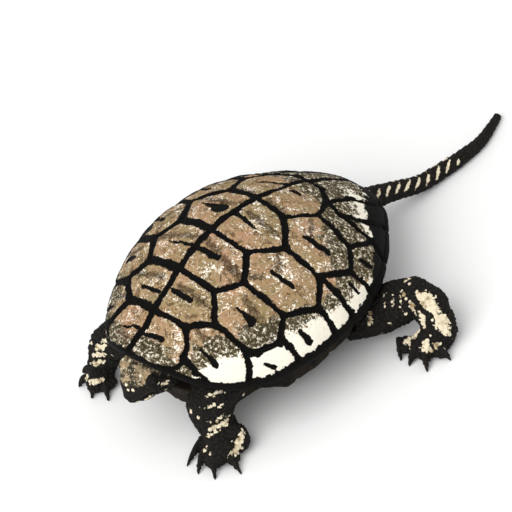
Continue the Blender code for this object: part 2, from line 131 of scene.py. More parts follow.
# Gouges cut into the scutes: (station, share) of both ends, and the half width at each in mm
MIDDLE_GOUGES = (
    ((-0.873, 0.073), (-0.84, 0.35), 1.0, 1.7), ((-0.555, 0.073), (-0.552, 0.278), 1.4, 1.6),
    ((-0.25, 0.032), (-0.24, 0.228), 1.9, 1.5), ((0.10, 0.018), (0.075, 0.27), 2.0, 0.7),
    ((0.512, 0.11), (0.508, 0.262), 1.8, 0.5),
)
FAR_GOUGES = (
    ((-0.845, 0.07), (-0.877, 0.405), 1.2, 0.8), ((-0.603, 0.068), (-0.605, 0.328), 1.4, 0.8),
    ((-0.25, 0.02), (-0.28, 0.32), 1.5, 0.6), ((0.09, 0.13), (0.088, 0.38), 3.2, 0.7),
    ((0.538, 0.04), (0.445, 0.27), 1.6, 0.9),
)
SIDE_GOUGES = (
    ((-0.745, 0.732), (-0.75, 0.913), 0.8, 1.8), ((-0.42, 0.63), (-0.422, 0.775), 0.9, 2.1),
    ((-0.103, 0.613), (-0.085, 0.77), 1.2, 1.5), ((0.248, 0.57), (0.268, 0.755), 1.9, 2.2),
    ((0.598, 0.60), (0.59, 0.81), 0.8, 1.2), ((0.41, 0.933), (0.443, 0.98), 1.5, 1.0),
    ((-0.247, 0.955), (-0.228, 0.995), 0.8, 1.9), ((-0.53, 0.985), (-0.495, 0.998), 1.1, 1.6),
    ((0.225, 0.955), (0.245, 0.99), 1.4, 0.9),
)

# Brown stains that run across the scutes, in the same form
STAINS = (
    ((-0.968, 0.01), (-0.902, 0.50), 1.0, 1.4), ((-0.512, 0.11), (-0.525, 0.45), 1.4, 1.2),
    ((-0.175, 0.04), (-0.265, 0.49), 1.2, 1.7), ((0.153, 0.095), (0.13, 0.42), 1.6, 1.2),
    ((0.32, 0.107), (0.308, 0.268), 1.6, 1.3), ((0.38, 0.49), (0.278, 0.598), 1.0, 1.0),
    ((0.032, 0.532), (-0.088, 0.653), 1.0, 1.3), ((-0.223, 0.53), (-0.162, 0.583), 1.0, 1.2),
    ((-0.345, 0.613), (-0.387, 0.79), 1.4, 1.6), ((-0.66, 0.47), (-0.69, 0.72), 1.0, 1.5),
)

# Height above the rim, in mm, up to which the stone is bleached, and up to which it is painted black as shade
# along the rim's lower edge, higher towards the rear
BLEACH_STATIONS = (-1.0, -0.90, -0.84, -0.70, -0.34, -0.10, 0.15, 0.32, 0.41, 0.57, 0.64, 0.80, 0.86, 1.0)
BLEACH_HEIGHTS = (-5.0, -4.0, 8.0, 20.0, 20.5, 17.0, 12.0, 12.0, 5.0, 6.0, 22.5, 22.0, 13.0, 4.0)
SHADE_STATIONS = (-1.0, -0.93, -0.80, 0.18, 0.30, 0.40, 0.50, 0.60, 0.72, 0.80, 1.0)
SHADE_HEIGHTS = (1.0, 1.0, 0.9, 0.9, 3.0, 5.5, 11.0, 14.0, 17.0, 16.0, 6.0)

# Height above the rim, in mm, at which the dark mottling of the sides gives way to clear stone, and
# over how much height it does so
MOTTLE_STATIONS = (-0.90, -0.84, -0.70, -0.34, -0.10, 0.12, 0.25, 0.40, 0.58, 0.72, 1.0)
MOTTLE_HEIGHTS = (5.5, 17.5, 29.5, 30.0, 26.5, 24.0, 33.0, 38.0, 36.0, 29.0, 18.0)
MOTTLE_FADE = 6.5

# A belt of painted shade along the right flank: its middle as a share of the crown's height there,
# halfway along the shell, how much higher it lies for each station to the rear, and its half width
SHADE_BELT_SHARE, SHADE_BELT_RISE, SHADE_BELT_HALF = 0.54, 0.24, 0.11
SHADE_BELT_WAVER = 0.8  # how far its edges waver, as a share of that half width
RIGHT_REAR_DROP = 9.0  # how much lower, in mm, the bleaching ends on the right of the rear
SHADE_BELT_ENDS = (-0.93, -0.80, 0.90, 0.97)  # stations between which it fades in and out

# The rim's section, from its top edge round to the floor: how far out in mm, and how far down its edge
RIM_SECTION = (
    (0.7, 0.08), (1.2, 0.25), (1.4, 0.5), (1.2, 0.75), (0.4, 0.93), (-1.2, 1.0),
    (-4.5, 1.0), (-8.5, 0.95),
)
RIM_SECTION_INNER = (-24.0, -40.0)

# Spines of the soft parts, as in the solids: (x, y, z) from the shell's middle on the ground
TAIL_SPINE = (
    ((0.000, 0.086, 0.036), 0.0090), ((0.000, 0.103, 0.029), 0.0080),
    ((0.000, 0.116, 0.0225), 0.0066), ((0.0005, 0.127, 0.0160), 0.0060),
    ((0.002, 0.142, 0.0082), 0.0056), ((0.004, 0.157, 0.0054), 0.0053),
    ((0.0075, 0.172, 0.0048), 0.0048), ((0.009, 0.190, 0.0039), 0.0039),
    ((0.005, 0.206, 0.0030), 0.0030), ((0.002, 0.214, 0.0024), 0.0024),
)

# Painted highlights as pale marks across the tail: how far along it they begin and end, their spacing,
# the angle round the tail of their middles, how they slant, and their half width along and across, in metres and
# radians
MARKS_START, MARKS_END, MARK_STEP = 0.012, 0.092, 0.0088
MARK_ANGLE, MARK_SLANT = 0.75, -1.0
MARK_HALF = (0.0015, 0.0048)

# Claws: root and tip, as in the solids
CLAWS = {
    "front_left_leg": (
        ((0.027, -0.095, 0.006), (0.027, -0.1125, 0.0008)),
        ((0.036, -0.103, 0.006), (0.039, -0.1140, 0.0008)),
        ((0.046, -0.103, 0.006), (0.053, -0.1120, 0.0008)),
        ((0.055, -0.096, 0.006), (0.066, -0.1000, 0.0008)),
    ),
    "front_right_leg": (
        ((-0.070, -0.090, 0.005), (-0.064, -0.0960, 0.0008)),
        ((-0.078, -0.094, 0.005), (-0.076, -0.0995, 0.0008)),
        ((-0.087, -0.091, 0.005), (-0.092, -0.0965, 0.0008)),
        ((-0.090, -0.084, 0.005), (-0.099, -0.0860, 0.0008)),
    ),
    "hind_left_leg": (
        ((0.0885, 0.0320, 0.006), (0.0945, 0.0240, 0.0008)),
        ((0.1020, 0.0320, 0.005), (0.1030, 0.0230, 0.0008)),
        ((0.1120, 0.0320, 0.005), (0.1180, 0.0250, 0.0008)),
        ((0.1185, 0.0400, 0.006), (0.1255, 0.0400, 0.0008)),
    ),
}
CLAWS["hind_right_leg"] = tuple(
    tuple((-place[0], *place[1:]) for place in claw) for claw in CLAWS["hind_left_leg"]
)

LIMB_SCALE = 0.0028  # spacing of the scales on the limbs
CREASE_GAP = 1.1 # how strongly, in mm, the creases between scales keep a painted highlight apart

# Painted highlights as pale streaks and patches on the limbs: ends, from the shell's middle, and half width in mm
STREAKS = {
    "front_left_leg": (
        ((0.045, -0.070, 0.050), (0.036, -0.078, 0.050), 0.9),
        ((0.046, -0.075, 0.044), (0.037, -0.083, 0.044), 1.1),
        ((0.045, -0.078, 0.037), (0.036, -0.087, 0.037), 1.0),
        ((0.044, -0.080, 0.030), (0.037, -0.088, 0.029), 0.9),
        ((0.048, -0.080, 0.024), (0.038, -0.090, 0.022), 2.3),
        ((0.046, -0.089, 0.019), (0.036, -0.095, 0.017), 1.3),
        ((0.053, -0.082, 0.016), (0.058, -0.094, 0.008), 3.1),
        ((0.050, -0.092, 0.014), (0.055, -0.098, 0.008), 1.8),
        ((0.040, -0.098, 0.015), (0.036, -0.106, 0.009), 1.0),
    ),
    "front_right_leg": (
        ((-0.060, -0.076, 0.042), (-0.070, -0.080, 0.038), 1.7),
        ((-0.066, -0.078, 0.036), (-0.076, -0.083, 0.031), 1.8),
        ((-0.068, -0.080, 0.029), (-0.079, -0.085, 0.025), 1.8),
        ((-0.071, -0.082, 0.022), (-0.081, -0.087, 0.018), 1.9),
        ((-0.071, -0.088, 0.012), (-0.078, -0.095, 0.010), 1.8),
        ((-0.079, -0.092, 0.012), (-0.087, -0.093, 0.009), 1.7),
    ),
    "hind_left_leg": (
        ((0.078, 0.044, 0.036), (0.079, 0.040, 0.022), 0.7),
        ((0.083, 0.047, 0.038), (0.084, 0.043, 0.024), 0.8),
        ((0.088, 0.050, 0.040), (0.089, 0.045, 0.026), 0.7),
        ((0.073, 0.032, 0.030), (0.072, 0.028, 0.022), 1.5),
        ((0.068, 0.027, 0.028), (0.067, 0.023, 0.020), 1.4),
        ((0.099, 0.053, 0.040), (0.114, 0.053, 0.028), 4.4),
        ((0.113, 0.052, 0.029), (0.119, 0.049, 0.013), 4.2),
        ((0.096, 0.047, 0.036), (0.100, 0.044, 0.026), 1.5),
        ((0.103, 0.046, 0.029), (0.108, 0.043, 0.019), 2.2),
        ((0.104, 0.042, 0.016), (0.094, 0.032, 0.009), 3.1),
        ((0.107, 0.040, 0.016), (0.102, 0.031, 0.009), 2.8),
        ((0.111, 0.039, 0.014), (0.112, 0.031, 0.009), 2.9),
        ((0.114, 0.041, 0.013), (0.119, 0.040, 0.009), 2.4),
    ),
}
STREAKS["hind_right_leg"] = tuple(
    ((-start[0], *start[1:]), (-end[0], *end[1:]), half) for start, end, half in STREAKS["hind_left_leg"]
)

# The head, from the shell's middle; what lies to a side is given for the left one
EYE = (0.0155, -0.1018, 0.0655)
NOSTRIL = (0.0024, -0.1150, 0.0570)
MOUTH_HEIGHT = 0.0540
# Painted highlights on the head, as pale streaks: ends and half width in mm
HEAD_STREAKS = (
    ((0.015, -0.092, 0.0560), (0.014, -0.097, 0.0560), 1.9),
    ((-0.015, -0.092, 0.0560), (-0.014, -0.097, 0.0560), 1.9),
    ((0.013, -0.104, 0.0510), (0.009, -0.110, 0.0490), 0.9),
    ((-0.013, -0.104, 0.0510), (-0.009, -0.110, 0.0490), 0.9),
)
HEAD_LUMPS = (
    ((0.0, -0.1062, 0.0570), (0.0085, 0.0092, 0.0080), (0.0, 0.0, 0.0)),
    ((0.0, -0.1020, 0.0510), (0.0105, 0.0105, 0.0050), (0.0, 0.0, 0.0)),
    ((0.0098, -0.0990, 0.0695), (0.0046, 0.0072, 0.0028), (0.0, 20.0, 12.0)),
    ((-0.0098, -0.0990, 0.0695), (0.0046, 0.0072, 0.0028), (0.0, -20.0, -12.0)),
    ((0.0130, -0.0890, 0.0550), (0.0040, 0.0060, 0.0060), (0.0, 0.0, 0.0)),
    ((-0.0130, -0.0890, 0.0550), (0.0040, 0.0060, 0.0060), (0.0, 0.0, 0.0)),
)

# Lumps of flesh on the limbs: centre, radii, and turns about X, Y and Z in degrees
LUMPS = {
    "front_left_leg": (
        ((0.033, -0.084, 0.0215), (0.0135, 0.0110, 0.0100), (0.0, 0.0, 0.0)),
        ((0.0505, -0.084, 0.0115), (0.0085, 0.0085, 0.0110), (0.0, 0.0, 0.0)),
        ((0.028, -0.093, 0.0055), (0.0050, 0.0075, 0.0048), (0.0, 0.0, 0.0)),
        ((0.037, -0.100, 0.0055), (0.0050, 0.0080, 0.0048), (0.0, 0.0, 8.0)),
        ((0.045, -0.100, 0.0055), (0.0050, 0.0080, 0.0048), (0.0, 0.0, 35.0)),
        ((0.053, -0.094, 0.0055), (0.0075, 0.0050, 0.0048), (0.0, 0.0, -15.0)),
    ),
    "front_right_leg": (
        ((-0.078, -0.075, 0.0200), (0.0125, 0.0105, 0.0100), (0.0, 0.0, 0.0)),
        ((-0.072, -0.088, 0.0050), (0.0048, 0.0072, 0.0044), (0.0, 0.0, -40.0)),
        ((-0.078, -0.091, 0.0050), (0.0048, 0.0072, 0.0044), (0.0, 0.0, 0.0)),
        ((-0.085, -0.089, 0.0050), (0.0048, 0.0072, 0.0044), (0.0, 0.0, 40.0)),
    ),
    "hind_left_leg": (
        ((0.100, 0.057, 0.0230), (0.0120, 0.0120, 0.0115), (0.0, 0.0, 0.0)),
        ((0.093, 0.034, 0.0050), (0.0046, 0.0070, 0.0044), (0.0, 0.0, 38.0)),
        ((0.102, 0.035, 0.0050), (0.0046, 0.0070, 0.0044), (0.0, 0.0, 5.0)),
        ((0.110, 0.035, 0.0050), (0.0046, 0.0070, 0.0044), (0.0, 0.0, -35.0)),
        ((0.116, 0.040, 0.0050), (0.0070, 0.0046, 0.0044), (0.0, 0.0, 0.0)),
    ),
}
LUMPS["hind_right_leg"] = tuple(
    ((-centre[0], *centre[1:]), radii, (0.0, 0.0, -turn[2])) for centre, radii, turn in LUMPS["hind_left_leg"]
)


# Small helpers


def smoothstep(low, high, value):
    t = np.clip((value - low) / (high - low), 0.0, 1.0)
    return t * t * (3.0 - 2.0 * t)


def fractal(points, size, shift=0.0, octaves=3):
    """Noise from about -1 to 1 with lumps of the given size in metres."""
    moved = Vector((shift, -1.7 * shift, 0.6 * shift))
    return np.array([noise.fractal(Vector(p) / size + moved, 1.0, 2.0, octaves) for p in points])


def warp(points, size, amount, shift=0.0):
    """The points moved about by noise, so that lines drawn among them waver."""
    moved = Vector((shift, shift, shift))
    turns = [noise.noise_vector(Vector(p) / size + moved) for p in points]
    return points + amount * np.array(turns)


def pits(points, size, shift=0.0):
    """Distance to the nearest of scattered points, as a share of their spacing."""
    moved = Vector((shift, shift, shift))
    return np.array([noise.voronoi(Vector(p) / size + moved)[0][0] for p in points])


def mesh_arrays(mesh):
    count = len(mesh.vertices)
    places = np.empty(count * 3)
    normals = np.empty(count * 3)
    mesh.vertices.foreach_get("co", places)
    mesh.vertices.foreach_get("normal", normals)
    return places.reshape(-1, 3), normals.reshape(-1, 3)


def set_places(mesh, places):
    mesh.vertices.foreach_set("co", places.ravel())
    mesh.update()


def set_field(mesh, name, values):
    """A number at each vertex, for the materials to read."""
    layer = mesh.attributes.new(name, "FLOAT", "POINT")
    layer.data.foreach_set("value", np.asarray(values, np.float32))


def add_object(name, mesh, material):
    obj = bpy.data.objects.new(name, mesh)
    bpy.context.scene.collection.objects.link(obj)
    mesh.materials.append(material)
    mesh.polygons.foreach_set("use_smooth", [True] * len(mesh.polygons))
    return obj


def settle(obj, node):
    """Lets the piece stand for its solid."""
    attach(obj, "root")
    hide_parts(node)


# The dome


def dome(tau, phi):
    """Places on the dome for arrays of the angle along and the angle across (left is positive)."""
    tau, phi = np.broadcast_arrays(tau, phi)
    station = np.sin(tau)
    half = HALF_WIDTH * np.sqrt(np.clip(1.0 - np.abs(station) ** OUTLINE_POWER, 0.0, None))
    half = half * (1.0 - REAR_TAPER * np.clip(station, 0.0, None) ** 4 * (1.0 - station**2))
    x = np.sign(phi) * half * np.sin(np.abs(phi)) ** (2.0 / ACROSS_POWER)
    up = np.clip(np.cos(phi), 0.0, None) ** (2.0 / ACROSS_ROOT)
    height = rim_height(station) + crown_height(station) * up
    return np.stack([x, SHELL_Y + HALF_LENGTH * station, height], -1)


def crown_height(station):
    swell = np.clip(1.0 - np.abs(station) ** PROFILE_POWER, 0.0, None) ** (1.0 / PROFILE_ROOT)
    return DOME_HEIGHT * swell * (1.0 - FRONT_BIAS * station)


def rim_height(station):
    lift = FRONT_LIFT * np.clip(-station, 0.0, None) ** 6
    return RIM_HEIGHT + lift - RIM_FALL * station


def angles_of(station, share):
    phi = RIM_PHI if share == 1.0 else math.asin(share ** (ACROSS_POWER / 2.0))
    return math.asin(station), phi


def evenly(curve, low, high, count):
    """Angles between two limits that lie evenly along a curve on the dome."""
    fine = np.linspace(low, high, 4000)
    steps = np.linalg.norm(np.diff(curve(fine), axis=0), axis=1)
    travelled = np.concatenate([[0.0], np.cumsum(steps)])
    return np.interp(np.linspace(0.0, travelled[-1], count + 1), travelled, fine)


class Lines:
    """Lines drawn on the shell, kept as close points with a half width at each."""

    def __init__(self):
        self.points = []
        self.halves = []

    def draw(self, start, end, first_half, last_half, swell=0.0):
        """A line that is straight in the dome's angles, and wider by the swell at both ends."""
        length = np.linalg.norm(dome(*np.array(start)) - dome(*np.array(end)))
        shares = np.linspace(0.0, 1.0, max(2, int(length / SEAM_STEP) + 1))
        tau = start[0] + (end[0] - start[0]) * shares
        phi = start[1] + (end[1] - start[1]) * shares
        from_end = np.minimum(shares, 1.0 - shares) * length
        widened = swell * np.clip(1.0 - from_end / JUNCTION_REACH, 0.0, 1.0)
        self.points.extend(dome(tau, phi))
        self.halves.extend(first_half + (last_half - first_half) * shares + widened)

    def drop(self, place):
        """Carries a seam on down the rim's edge."""
        for depth in np.arange(0.0, RIM_EDGE, SEAM_STEP):
            self.points.append(place - np.array((0.0, 0.0, depth)))
            self.halves.append(SEAM_HALF)

    def field(self, places):
        """For each place, the distance to the nearest line and that line's half width, in metres."""
        tree = kdtree.KDTree(len(self.points))
        for index, point in enumerate(self.points):
            tree.insert(point, index)
        tree.balance()
        found = [tree.find(place)[1:] for place in places]
        distance = np.array([gap for _, gap in found])
        return distance, np.array(self.halves)[[index for index, _ in found]]


def seam_lines():
    lines = Lines()
    drawn = set()
    for corners in SCUTES:
        for pair in zip(corners, corners[1:] + corners[:1]):
            first, last = sorted(pair)
            on_rim = all(name[0] == "r" for name in pair) or pair in (("nose", "r0"),)
            if on_rim or (first, last) in drawn:
                continue
            drawn.add((first, last))
            start, end = (list(angles_at(name)) for name in (first, last))
            for tip, other in ((start, end), (end, start)):
                if abs(tip[0]) == RIM_PHI:
                    tip[1] = other[1]
            on_keel = start[1] == end[1] == 0.0
            for side, widening in ((1, 1.0), (-1, RIGHT_WIDENING)):
                half = KEEL_HALF if on_keel else SEAM_HALF * widening
                ends = (start[0], side * start[1]), (end[0], side * end[1])
                lines.draw(*ends, half, half, JUNCTION_SWELL)
    for number in range(10):
        tau, phi = angles_at(f"r{number}")
        for side in (1, -1):
            lines.drop(dome(np.array(tau), np.array(side * phi)))
    return lines


def angles_at(name):
    station, share = CORNERS[name]
    if abs(station) == 1.0:
        return math.copysign(RIM_PHI, station), RIM_PHI
    return angles_of(station, share)


def strokes(*groups, widening=1.0):
    """Short lines of changing width; each group comes with the sides it lies on."""
    lines = Lines()
    for marks, sides in groups:
        for start, end, first_half, last_half in marks:
            for side in sides:
                (tau0, phi0), (tau1, phi1) = angles_of(*start), angles_of(*end)
                ends = (tau0, side * phi0), (tau1, side * phi1)
                lines.draw(*ends, first_half * MM * widening, last_half * MM * widening)
    return lines


def carapace_base():
    """The dome as an even grid, closed by the rim's edge and a flat floor."""
    taus = evenly(lambda t: dome(t, np.full_like(t, 0.7)), -RIM_PHI, RIM_PHI, ROWS)[1:-1]
    phis = evenly(lambda p: dome(np.zeros_like(p), p), RIM_PHI, -RIM_PHI, COLUMNS)
    grid = dome(taus[:, None], phis[None, :])
    rows, columns = len(taus), len(phis)
    front = dome(np.array(-RIM_PHI), np.array(0.0))
    rear = dome(np.array(RIM_PHI), np.array(0.0))
    places = [front, rear, *grid.reshape(-1, 3)]

    def at(row, column):
        return 2 + row * columns + column

    faces = []
    for j in range(columns - 1):
        faces.append((0, at(0, j), at(0, j + 1)))
        faces.append((1, at(rows - 1, j + 1), at(rows - 1, j)))
    for i in range(rows - 1):
        for j in range(columns - 1):
            faces.append((at(i, j), at(i + 1, j), at(i + 1, j + 1), at(i, j + 1)))
    left = [at(i, 0) for i in range(rows)]
    right = [at(i, columns - 1) for i in range(rows - 1, -1, -1)]
    loop = [0, *left, 1, *right]
    rim = np.array([places[k] for k in loop])
    radial = rim - np.array(SHELL_MIDDLE)
    radial[:, 2] = 0.0
    radial /= np.linalg.norm(radial, axis=1)[:, None]
    sections = [(out * MM, rim[:, 2] - share * RIM_EDGE) for out, share in RIM_SECTION]
    sections += [(out * MM, np.full(len(rim), FLOOR)) for out in RIM_SECTION_INNER]
    for out, height in sections:
        ring = rim + radial * out
        ring[:, 2] = height
        made = list(range(len(places), len(places) + len(ring)))
        places.extend(ring)
        for i, j in zip(range(len(loop)), [*range(1, len(loop)), 0]):
            faces.append((loop[i], made[i], made[j], loop[j]))
        loop = made
    places.append(np.array((0.0, SHELL_Y, FLOOR)))
    for i, j in zip(range(len(loop)), [*range(1, len(loop)), 0]):
        faces.append((loop[i], len(places) - 1, loop[j]))
    mesh = bpy.data.meshes.new("carapace_stone")
    mesh.from_pydata([tuple(p) for p in places], [], faces)
    mesh.update()
    return mesh


def build_carapace(material):
    mesh = carapace_base()
    places, normals = mesh_arrays(mesh)
    station = np.clip((places[:, 1] - SHELL_Y) / HALF_LENGTH, -1.0, 1.0)
    above_rim = (places[:, 2] - rim_height(station)) / MM

    # Fields in mm: how far each place lies from the edge of a seam, gouge or stain
    wavered = warp(warp(places, 0.010, 0.0011), 0.0028, 0.0006, 4.0)
    distance, half = seam_lines().field(wavered)
    width_noise = fractal(places, 0.012, 3.0, 2)
    seam = (distance - half * (1.0 + 0.30 * width_noise)) / MM
    groups = (MIDDLE_GOUGES, (1,)), (FAR_GOUGES, (-1,)), (SIDE_GOUGES, (1, -1))
    gouges = strokes(*groups, widening=GOUGE_WIDENING)
    reach, half = gouges.field(warp(places, 0.005, 0.0012, 8.0))
    gouge = (reach - half * (1.0 + 0.45 * width_noise)) / MM
    stains = strokes((STAINS, (1, -1)), widening=STAIN_WIDENING)
    reach, half = stains.field(warp(places, 0.005, 0.0015, 2.0))
    stain = (reach - half) / MM

    lumps = fractal(places, 0.016, 6.0, 4)
    grit = fractal(places, 0.0032, 9.0, 3)
    hollows = pits(places, 0.0046, 5.0)
    swell = 0.0008 * (1.0 - np.exp(-distance / 0.009))
    plate = -0.0012 + 0.0019 * smoothstep(0.0, 0.0030, distance) + swell
    rough = 0.00040 * lumps + 0.00017 * grit - 0.00030 * smoothstep(0.33, 0.10, hollows)
    cut = -0.0011 * smoothstep(0.7, -1.2, gouge) - 0.0003 * smoothstep(0.8, -1.5, stain)
    below = smoothstep(-9.0, -3.0, above_rim)
    height = (plate + cut) * below + rough * (0.35 + 0.65 * below)
    set_places(mesh, places + normals * height[:, None])

    patches = fractal(places, 0.022, 12.0, 2)
    right = places[:, 0] < 0.0
    bleach = above_rim - np.interp(station, BLEACH_STATIONS, BLEACH_HEIGHTS)
    bleach += np.where(right, RIGHT_REAR_DROP * smoothstep(0.62, 0.72, station), 0.0)
    # Painted shade: black below these heights along the rim's lower edge, rising towards the rear
    painted_shade = above_rim - np.interp(station, SHADE_STATIONS, SHADE_HEIGHTS)
    crown = crown_height(station) / MM
    # Painted shade: a dark belt along the right flank, joined to the black along the rim
    start, begun, ending, end = SHADE_BELT_ENDS
    shade_belt_half = SHADE_BELT_HALF * smoothstep(start, begun, station) * smoothstep(end, ending, station)
    shade_belt = np.abs(above_rim - crown * (SHADE_BELT_SHARE + SHADE_BELT_RISE * station))
    shade_belt -= crown * shade_belt_half * (1.0 + SHADE_BELT_WAVER * (patches + lumps))
    painted_shade = np.where(right & (shade_belt_half > 0.0), np.minimum(painted_shade, shade_belt), painted_shade)
    top = np.interp(station, MOTTLE_STATIONS, MOTTLE_HEIGHTS)
    low = smoothstep(MOTTLE_FADE, -MOTTLE_FADE, above_rim - top) * smoothstep(-3.0, 1.0, bleach)
    ends = smoothstep(-0.78, -0.93, station) + smoothstep(0.50, 0.62, station)
    mottle = np.clip(1.15 * low + 0.9 * ends + 0.75 * patches - 0.12, 0.0, 1.0)
    for name, values in (("seam", seam), ("gouge", gouge), ("stain", stain),
                         ("bleach", bleach), ("painted_shade", painted_shade), ("mottle", mottle)):
        set_field(mesh, name, values)
    obj = add_object("carapace_stone", mesh, material)
    settle(obj, "carapace")
    return obj


# Clay: a solid copied with flesh joined on, made into one even mesh


def ellipsoid(bm, centre, radii, turn):
    made = bmesh.ops.create_icosphere(bm, subdivisions=3, radius=1.0)["verts"]
    place = Matrix.Translation(Vector(centre) + Vector((0.0, SHELL_Y, 0.0)))
    for axis, angle in zip("XYZ", turn):
        place @= Matrix.Rotation(math.radians(angle), 4, axis)
    bmesh.ops.transform(bm, matrix=place @ Matrix.Diagonal((*radii, 1.0)), verts=made)


def clay(node, lumps=(), voxel=0.0006, smoothing=14):
    bm = bmesh.new()
    bm.from_mesh(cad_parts[node].data)
    for lump in lumps:
        ellipsoid(bm, *lump)
    mesh = bpy.data.meshes.new(f"{node}_clay")
    bm.to_mesh(mesh)
    bm.free()
    obj = bpy.data.objects.new(f"{node}_clay", mesh)
    bpy.context.scene.collection.objects.link(obj)
    remesh = obj.modifiers.new("even", "REMESH")
    remesh.mode = "VOXEL"
    remesh.voxel_size = voxel
    smooth = obj.modifiers.new("soften", "SMOOTH")
    smooth.factor = 0.5
    smooth.iterations = smoothing
    graph = bpy.context.evaluated_depsgraph_get()
    made = bpy.data.meshes.new_from_object(obj.evaluated_get(graph))
    made.materials.clear()
    bpy.data.objects.remove(obj)
    made.name = f"{node}_stone"
    return made


def scatter(places, spacing, seed):
    """Points picked from the places, each at least its own spacing from the others."""
    order = np.random.default_rng(seed).permutation(len(places))
    cell = float(spacing.max())
    kept = {}
    chosen = []
    for index in order:
        point = places[index]
        home = tuple((point // cell).astype(int))
        near = (
            other
            for dx in (-1, 0, 1) for dy in (-1, 0, 1) for dz in (-1, 0, 1)
            for other in kept.get((home[0] + dx, home[1] + dy, home[2] + dz), ())
        )
        gap = spacing[index]
        if all(np.sum((point - other) ** 2) > gap * gap for other in near):
            kept.setdefault(home, []).append(point)
            chosen.append(index)
    return np.array(chosen)


def scales(places, spacing, seed):
    """For each place: the nearest scale's number, the distance to it and how far its edge is."""
    chosen = scatter(places, spacing, seed)
    tree = kdtree.KDTree(len(chosen))
    for number, index in enumerate(chosen):
        tree.insert(places[index], number)
    tree.balance()
    wavered = warp(places, 0.003, 0.0004, seed)
    found = [tree.find_n(place, 2) for place in wavered]
    number = np.array([pair[0][1] for pair in found])
    near = np.array([pair[0][2] for pair in found])
    edge = np.array([pair[1][2] - pair[0][2] for pair in found])
    return chosen, number, near, edge


def add_claws(mesh, claws):
    """Curved, pointed claws, each with a ridge along its back."""
    bm = bmesh.new()
    bm.from_mesh(mesh)
    painted_highlight = bm.verts.layers.float["painted_highlight"]
    scale = bm.verts.layers.float["scale"]
    sides, rings = 14, 16
    added = []
    for root, tip in claws:
        root, tip = (Vector(p) + Vector((0.0, SHELL_Y, 0.0)) for p in (root, tip))
        back = root + (root - tip) * 0.30
        ahead = (tip - root).normalized()
        across = ahead.cross(Vector((0.0, 0.0, 1.0))).normalized()
        loops = []
        for i in range(rings + 1):
            t = i / rings
            arch = Vector((0.0, 0.0, 0.0024 * math.sin(math.pi * t) - 0.0004 * t))
            middle = back.lerp(tip, t) + arch
            radius = 0.0031 * (1.0 - t) ** 0.62 + 0.00035
            rise = across.cross(ahead)
            loop = []
            for k in range(sides):
                turn = 2 * math.pi * k / sides
                thick = 0.95 + 0.18 * max(0.0, math.sin(turn)) ** 4
                spot = middle + across * (radius * 0.78 * math.cos(turn))
                loop.append(bm.verts.new(spot + rise * (radius * thick * math.sin(turn))))
            loops.append(loop)
        for first, second in zip(loops, loops[1:]):
            for k in range(sides):
                j = (k + 1) % sides
                added.append(bm.faces.new((first[k], first[j], second[j], second[k])))
        added.append(bm.faces.new(loops[0][::-1]))
        added.append(bm.faces.new(loops[-1]))
        for vert in (v for loop in loops for v in loop):
            vert.co.z = max(vert.co.z, 0.0002)
            vert[painted_highlight] = 9.0
            vert[scale] = 1.0
    bmesh.ops.recalc_face_normals(bm, faces=added)
    bm.to_mesh(mesh)
    bm.free()


def streak_field(places, streaks, seed):
    """How far each place lies from the streaks drawn on the surface, in mm, with uneven edges."""
    surface = kdtree.KDTree(len(places))
    for index, place in enumerate(places):
        surface.insert(place, index)
    surface.balance()
    lines = Lines()
    for start, end, half in streaks:
        shares = np.linspace(0.0, 1.0, 24)
        ends = np.array(start), np.array(end)
        for share in shares:
            spot = ends[0] + (ends[1] - ends[0]) * share + np.array((0.0, SHELL_Y, 0.0))
            lines.points.append(np.array(surface.find(spot)[0]))
            lines.halves.append(half * MM * (0.45 + 0.75 * math.sin(math.pi * share)))
    distance, half = lines.field(warp(places, 0.0035, 0.0011, seed))
    return (distance - half * (1.0 + 0.6 * fractal(places, 0.0025, seed, 2))) / MM


def build_limb(node, spacing, seed, material, pale_share=0.04, folds=0.0003):
    mesh = clay(node, LUMPS[node])
    places, normals = mesh_arrays(mesh)
    spread = spacing * (1.0 + 0.35 * fractal(places, 0.012, seed, 2))
    chosen, number, near, edge = scales(places, spread, seed)
    random = np.random.default_rng(seed)
    tone = random.random(len(chosen))
    facing = normals[:, 2] > -0.35
    dome_up = 1.0 - np.clip(near / (0.62 * spread), 0.0, 1.0) ** 2
    groove = smoothstep(0.0, 0.0011, edge)
    wrinkle = np.sin(fractal(places, 0.010, seed + 3.0, 2) * 16.0)
    height = 0.00050 * dome_up + 0.00045 * (groove - 1.0) + folds * wrinkle
    height += 0.00010 * fractal(places, 0.0012, seed, 2)
    sole = smoothstep(0.0003, 0.0016, places[:, 2])
    set_places(mesh, places + normals * (height * sole)[:, None])
    # Painted highlights: a few scales that don't face down are made pale, and so are the streaks
    size = 0.25 + 0.33 * random.random(len(chosen))
    flagged = tone < pale_share
    painted_highlight = np.where(flagged[number] & facing, near - size[number] * spread, 9.0 * MM) / MM
    streaks = streak_field(places, STREAKS[node], seed) + CREASE_GAP * (1.0 - groove)
    set_field(mesh, "painted_highlight", np.minimum(painted_highlight, streaks))
    set_field(mesh, "scale", groove)
    add_claws(mesh, CLAWS[node])
    obj = add_object(f"{node}_stone", mesh, material)
    settle(obj, node)
    return obj


